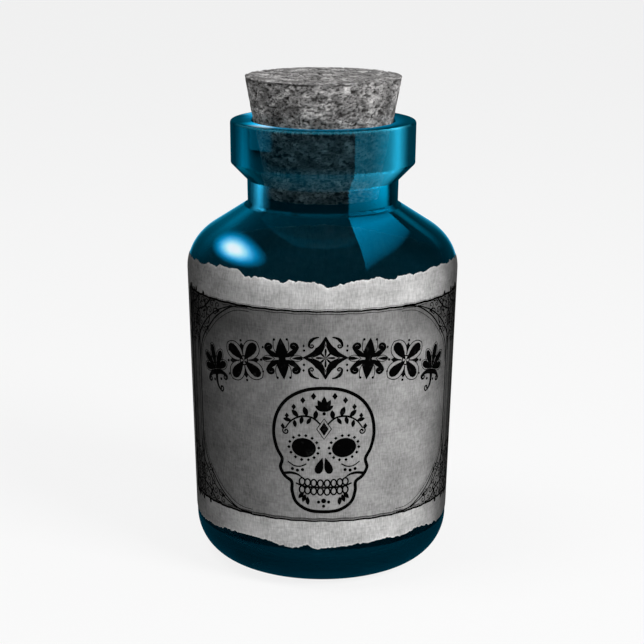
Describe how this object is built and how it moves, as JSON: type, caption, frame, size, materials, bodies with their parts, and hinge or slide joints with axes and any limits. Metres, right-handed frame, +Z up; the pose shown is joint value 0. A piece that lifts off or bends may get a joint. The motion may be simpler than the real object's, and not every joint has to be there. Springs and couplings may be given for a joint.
{
  "type": "poison bottle",
  "caption": "Round-shouldered glass apothecary bottle with a heavy collar, a tapered cork that pulls out of its mouth and a torn paper label wrapped round the body.",
  "frame": {"origin": "middle of the base, on the surface that the bottle stands on", "axes": "+Z up along the bottle's axis; the front of the label faces -Y, and +X is to its right"},
  "size_m": [0.066, 0.066, 0.1177],
  "materials": {
    "blue_glass": "gloss",
    "grey_cork": "matte",
    "aged_paper": "matte"
  },
  "bodies": {
    "bottle": {"glass_bottle": "blue_glass", "paper_label": "aged_paper"},
    "cork": {"cork_stopper": "grey_cork"}
  },
  "joints": [
    {"name": "cork_pull", "type": "slide", "parent": "bottle", "child": "cork", "axis": [0, 0, 1], "range_m": [0, 0.03]}
  ]
}
